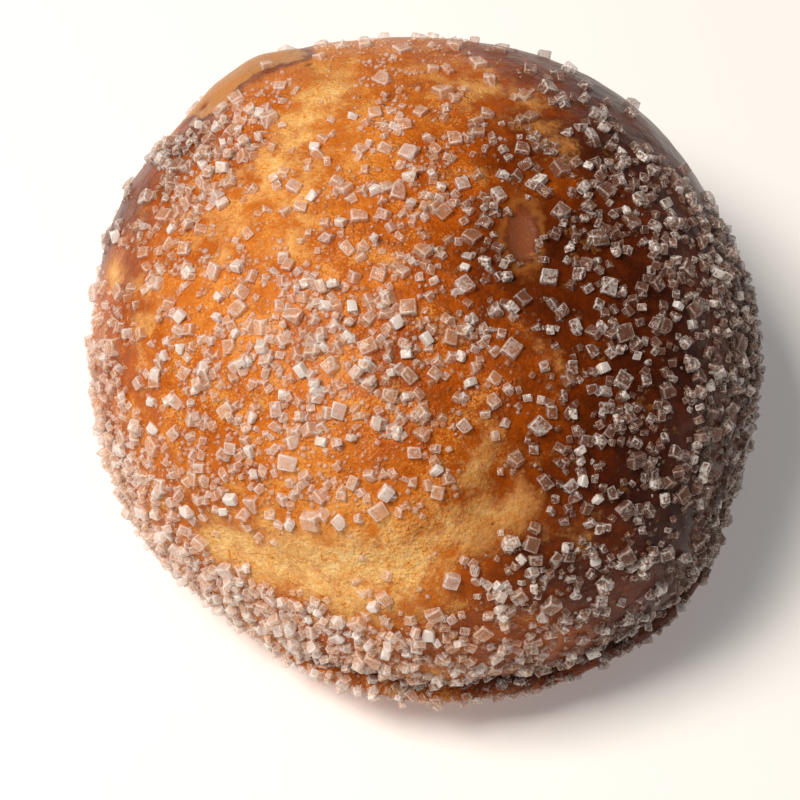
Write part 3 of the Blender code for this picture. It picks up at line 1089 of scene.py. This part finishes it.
def crystal_shapes(bevels, inset, most_breaks):
    """Crystal shapes one unit long to scatter, each a little different, a third below their origin."""
    shapes = bpy.data.collections.new("crystal_shapes")
    draw = random.Random(SHAPE_SEED)
    for _ in range(SHAPE_COUNT):
        sides = Vector((1.0, draw.uniform(*GRAIN_BREADTH), draw.uniform(*GRAIN_THICKNESS)))
        off = [Vector(draw.uniform(*CRYSTAL_CORNERS) for _ in range(3)) for _ in range(8)]
        breaks = random_breaks(draw, most_breaks)
        form = block_crystal(draw, sides, off, draw.uniform(*bevels), inset, breaks)
        bmesh.ops.translate(form, verts=form.verts, vec=(0.0, 0.0, sides.z * (0.5 - CRYSTAL_SUNK)))
        mesh = bpy.data.meshes.new("crystal_shape")
        form.to_mesh(mesh)
        form.free()
        shapes.objects.link(bpy.data.objects.new("crystal_shape", mesh))
    return shapes


def sugar_tree():
    """Geometry nodes that scatter crystals over the crust by the amount painted on it."""
    tree = bpy.data.node_groups.new("scatter_sugar", "GeometryNodeTree")
    tree.is_modifier = True
    sockets = {
        "NodeSocketGeometry": ("Crust",),
        "NodeSocketCollection": ("Shapes",),
        "NodeSocketObject": ("Laid Sugar",),
        "NodeSocketString": ("Amount",),
        "NodeSocketFloat": (
            "Clearance", "Spacing", "Smallest", "Largest", "Least Amount", "Most Amount", "Lift", "Tilt",
        ),
        "NodeSocketInt": ("Seed",),
        "NodeSocketMaterial": ("Finish", "Edge Finish"),
    }
    for kind, names in sockets.items():
        for name in names:
            tree.interface.new_socket(name, in_out="INPUT", socket_type=kind)
    tree.interface.new_socket("Sugar", in_out="OUTPUT", socket_type="NodeSocketGeometry")
    given = add_node(tree, "NodeGroupInput").outputs
    amount = add_node(tree, "GeometryNodeInputNamedAttribute", {"Name": given["Amount"]}, data_type="FLOAT")
    share = add_node(
        tree, "ShaderNodeMapRange",
        {"Value": amount.outputs[0], "From Min": given["Least Amount"], "From Max": given["Most Amount"]},
    ).outputs[0]
    per_area = add_node(
        tree, "ShaderNodeMath",
        {0: PACKING, 1: reckon(tree, "MULTIPLY", given["Spacing"], given["Spacing"])},
        operation="DIVIDE",
    ).outputs[0]
    spread = add_node(
        tree, "GeometryNodeDistributePointsOnFaces",
        {
            "Mesh": given["Crust"], "Distance Min": given["Spacing"], "Density Max": per_area,
            "Density Factor": share, "Seed": given["Seed"],
        },
        distribute_method="POISSON",
    )
    laid = add_node(tree, "GeometryNodeObjectInfo", {"Object": given["Laid Sugar"]})
    near = add_node(
        tree, "GeometryNodeProximity", {"Geometry": laid.outputs["Geometry"]}, target_element="FACES"
    )
    crowded = add_node(
        tree, "FunctionNodeCompare", {0: near.outputs["Distance"], 1: given["Clearance"]},
        operation="LESS_THAN", data_type="FLOAT",
    )
    free = add_node(
        tree, "GeometryNodeDeleteGeometry",
        {"Geometry": spread.outputs["Points"], "Selection": crowded.outputs[0]},
        domain="POINT",
    )
    rise = add_node(
        tree, "ShaderNodeVectorMath", {0: spread.outputs["Normal"], "Scale": given["Lift"]},
        operation="SCALE",
    )
    lifted = add_node(
        tree, "GeometryNodeSetPosition", {"Geometry": free.outputs[0], "Offset": rise.outputs[0]}
    )
    other_way = reckon(tree, "MULTIPLY", given["Tilt"], -1.0)
    least_turn = add_node(tree, "ShaderNodeCombineXYZ", {0: other_way, 1: other_way})
    most_turn = add_node(tree, "ShaderNodeCombineXYZ", {0: given["Tilt"], 1: given["Tilt"], 2: math.tau})
    turn = add_node(
        tree, "FunctionNodeRandomValue",
        {0: least_turn.outputs[0], 1: most_turn.outputs[0], "Seed": given["Seed"]},
        data_type="FLOAT_VECTOR",
    )
    turned = add_node(
        tree, "FunctionNodeRotateRotation",
        {
            "Rotation": spread.outputs["Rotation"],
            "Rotate By": add_node(tree, "FunctionNodeEulerToRotation", {0: turn.outputs[0]}).outputs[0],
        },
        rotation_space="LOCAL",
    )
    luck = add_node(tree, "FunctionNodeRandomValue", {"Seed": reckon(tree, "ADD", given["Seed"], 1.0)})
    length = add_node(
        tree, "ShaderNodeMapRange",
        {
            "Value": reckon(tree, "POWER", luck.outputs[1], 1.5),
            "To Min": given["Smallest"], "To Max": given["Largest"],
        },
    )
    shapes = add_node(
        tree, "GeometryNodeCollectionInfo",
        {"Collection": given["Shapes"], "Separate Children": True, "Reset Children": True},
    )
    choice = add_node(
        tree, "FunctionNodeRandomValue",
        {4: 0, 5: SHAPE_COUNT - 1, "Seed": reckon(tree, "ADD", given["Seed"], 2.0)}, data_type="INT",
    )
    grains = add_node(
        tree, "GeometryNodeInstanceOnPoints",
        {
            "Points": lifted.outputs[0], "Instance": shapes.outputs[0], "Pick Instance": True,
            "Instance Index": choice.outputs[2], "Rotation": turned.outputs[0], "Scale": length.outputs[0],
        },
    )
    tone = add_node(tree, "FunctionNodeRandomValue", {"Seed": reckon(tree, "ADD", given["Seed"], 3.0)})
    toned = add_node(
        tree, "GeometryNodeStoreNamedAttribute",
        {"Geometry": grains.outputs[0], "Name": "tone", "Value": tone.outputs[1]},
        data_type="FLOAT", domain="INSTANCE",
    )
    real = add_node(tree, "GeometryNodeRealizeInstances", {"Geometry": toned.outputs[0]})
    finished = add_node(
        tree, "GeometryNodeSetMaterial", {"Geometry": real.outputs[0], "Material": given["Finish"]}
    )
    edge = add_node(tree, "GeometryNodeInputNamedAttribute", {"Name": "edge"}, data_type="FLOAT")
    edged = add_node(
        tree, "GeometryNodeSetMaterial",
        {"Geometry": finished.outputs[0], "Selection": edge.outputs[0], "Material": given["Edge Finish"]},
    )
    add_node(tree, "NodeGroupOutput", {"Sugar": edged.outputs[0]})
    return tree


class BRIOCHE_OT_scattered_sugar(bpy.types.Operator):
    """Scatters the smaller sugar over the crust, thicker and thinner as it fell"""

    bl_idname = "brioche.scattered_sugar"
    bl_label = "Scatter Sugar"

    def scatter(self, context, tree, kind, shapes):
        """The crystals of one kind as a plain mesh."""
        base = bpy.data.objects.new("base", bpy.data.objects["crust"].data.copy())
        context.scene.collection.objects.link(base)
        modifier = base.modifiers.new("scatter", "NODES")
        modifier.node_group = tree
        colours = context.scene.brioche_colours
        faces, edges = sugar_finishes(colours, kind.name, kind.clearness, kind.cloud)
        values = {
            "Shapes": shapes,
            "Amount": kind.amount,
            "Laid Sugar": bpy.data.objects["sugar_large"],
            "Clearance": CLEARANCE_SHARE * kind.smallest,
            "Spacing": kind.spacing,
            "Smallest": kind.smallest,
            "Largest": kind.largest,
            "Least Amount": kind.least,
            "Most Amount": kind.most,
            "Lift": kind.lift,
            "Tilt": math.radians(kind.tilt),
            "Seed": kind.seed,
            "Finish": faces,
            "Edge Finish": edges,
        }
        sockets = {item.name: item.identifier for item in tree.interface.items_tree}
        for label, value in values.items():
            modifier[sockets[label]] = value
        context.view_layer.update()
        graph = context.evaluated_depsgraph_get()
        mesh = bpy.data.meshes.new_from_object(base.evaluated_get(graph))
        if not mesh.polygons:
            raise RuntimeError(f"no crystals were scattered for {kind.name}")
        bpy.data.objects.remove(base)
        mesh.name = kind.name
        return mesh

    def execute(self, context):
        tree = sugar_tree()
        shapes = {name: crystal_shapes(*numbers) for name, numbers in GRAIN_SHAPES.items()}
        for kind in SUGAR_KINDS:
            mesh = self.scatter(context, tree, kind, shapes[kind.shape])
            sugar = bpy.data.objects.new(kind.name, mesh)
            context.scene.collection.objects.link(sugar)
            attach(sugar, "root")
        for collection in shapes.values():
            for shape in list(collection.objects):
                bpy.data.objects.remove(shape)
            bpy.data.collections.remove(collection)
        return {"FINISHED"}


class BRIOCHE_OT_studio(bpy.types.Operator):
    """Sets the pale floor, the soft key light, the surroundings and the camera"""

    bl_idname = "brioche.studio"
    bl_label = "Set Studio"

    def add_key_light(self, context, studio):
        """A square soft light at the upper left that faces the bun."""
        light = bpy.data.lights.new("key_light", "AREA")
        light.size = KEY_SIZE
        light.energy = studio.key_power
        light.color = linear(studio.key_colour)[:3]
        lamp = bpy.data.objects.new("key_light", light)
        lamp.location = KEY_PLACE
        lamp.rotation_euler = (Vector(KEY_AIM) - Vector(KEY_PLACE)).to_track_quat("-Z", "Y").to_euler()
        context.scene.collection.objects.link(lamp)

    def add_floor(self, context, studio):
        """The flat pale board under the bun."""
        form = bmesh.new()
        bmesh.ops.create_grid(form, x_segments=1, y_segments=1, size=FLOOR_HALF)
        mesh = bpy.data.meshes.new("studio_floor")
        form.to_mesh(mesh)
        form.free()
        mesh.materials.append(pale_floor(studio))
        floor = bpy.data.objects.new("studio_floor", mesh)
        context.scene.collection.objects.link(floor)

    def set_surroundings(self, context, studio):
        """An even pale glow that darkens upwards, so that the crust doesn't turn milky."""
        world = bpy.data.worlds.new("pale_surroundings")
        world.use_nodes = True
        tree = world.node_tree
        way = add_node(tree, "ShaderNodeTexCoord").outputs["Generated"]
        rise = add_node(tree, "ShaderNodeSeparateXYZ", {0: way}).outputs[2]
        glow = add_node(
            tree, "ShaderNodeMapRange",
            {
                "Value": rise, "From Min": GLOW_FROM, "From Max": GLOW_TO,
                "To Min": studio.surround, "To Max": GLOW_LEFT * studio.surround,
            },
        )
        background = tree.nodes["Background"]
        background.inputs["Color"].default_value = linear(studio.surround_colour)
        tree.links.new(glow.outputs[0], background.inputs["Strength"])
        context.scene.world = world

    def add_camera(self, context, studio):
        """The camera, in front of the bun and looking down on it."""
        back = Vector((0.0, -math.cos(studio.elevation), math.sin(studio.elevation)))
        camera_data = bpy.data.cameras.new("camera")
        camera_data.lens = studio.lens
        camera_data.clip_start = NEAREST_SEEN
        camera = bpy.data.objects.new("camera", camera_data)
        camera.location = Vector(studio.aim) + back * studio.distance
        camera.rotation_euler = (-back).to_track_quat("-Z", "Y").to_euler()
        context.scene.collection.objects.link(camera)
        context.scene.camera = camera

    def execute(self, context):
        studio = context.scene.brioche_studio
        self.add_floor(context, studio)
        self.add_key_light(context, studio)
        self.set_surroundings(context, studio)
        self.add_camera(context, studio)
        context.scene.view_settings.view_transform = "Standard"
        return {"FINISHED"}


class BRIOCHE_PT_panel(bpy.types.Panel):
    """Lists the bun's steps and settings"""

    bl_label = "Sugared Brioche Bun"
    bl_idname = "BRIOCHE_PT_panel"
    bl_space_type = "VIEW_3D"
    bl_region_type = "UI"
    bl_category = "Brioche"

    def draw(self, context):
        column = self.layout.column()
        for step in STEPS:
            column.operator(step.bl_idname)
        for group_name in GROUPS:
            group = getattr(context.scene, group_name)
            for name in group.__annotations__:
                column.prop(group, name)


STEPS = (BRIOCHE_OT_crust, BRIOCHE_OT_large_sugar, BRIOCHE_OT_scattered_sugar, BRIOCHE_OT_studio)
GROUPS = {
    "brioche_form": BriocheForm,
    "brioche_colours": BriocheColours,
    "brioche_studio": BriocheStudio,
}


def register():
    """Makes the classes and the scene's settings known to Blender."""
    for item in (*GROUPS.values(), *STEPS, BRIOCHE_PT_panel):
        bpy.utils.register_class(item)
    for name, group in GROUPS.items():
        setattr(bpy.types.Scene, name, bpy.props.PointerProperty(type=group))


def unregister():
    """Takes them away again."""
    for name in GROUPS:
        delattr(bpy.types.Scene, name)
    for item in (BRIOCHE_PT_panel, *reversed(STEPS), *reversed(GROUPS.values())):
        bpy.utils.unregister_class(item)


def main():
    """Builds everything in order."""
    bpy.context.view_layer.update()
    register()
    bpy.ops.brioche.crust()
    bpy.ops.brioche.large_sugar()
    bpy.ops.brioche.scattered_sugar()
    bpy.ops.brioche.studio()


if __name__ == "__main__":
    main()
